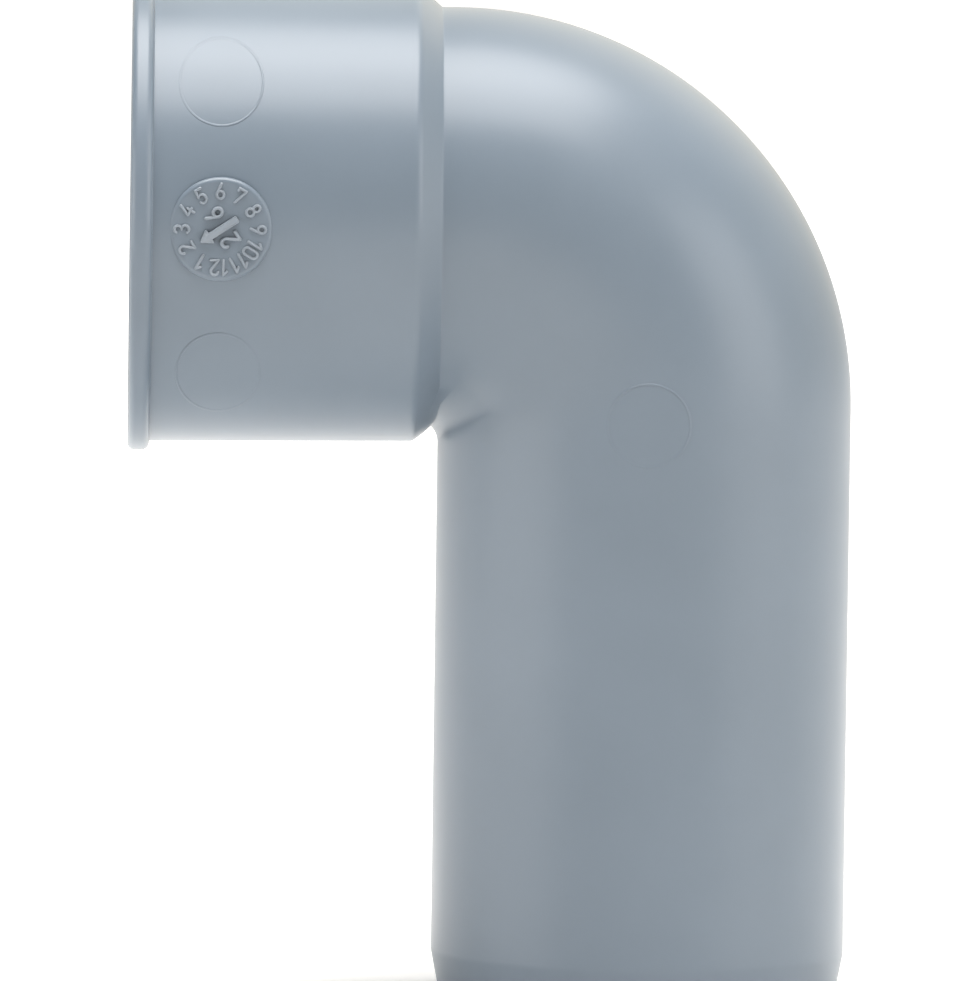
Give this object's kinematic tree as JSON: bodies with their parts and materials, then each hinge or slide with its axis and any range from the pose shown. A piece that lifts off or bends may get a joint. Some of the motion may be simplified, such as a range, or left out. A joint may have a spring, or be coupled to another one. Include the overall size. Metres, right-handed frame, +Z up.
{
  "type": "trap elbow",
  "caption": "One-piece moulded plastic elbow for a waste trap: a wide push-in socket with a rim, a right-angle bend and a plain bevelled spigot.",
  "frame": {"origin": "centre of the spigot's open end face", "axes": "+Z up the spigot towards the bend, -X out of the socket's mouth, -Y is the side with the date dial"},
  "size_m": [0.07, 0.0464, 0.0982],
  "materials": {
    "grey_plastic": "satin moulded grey polypropylene"
  },
  "bodies": {
    "root": {"trap_elbow": "grey_plastic"}
  },
  "joints": []
}
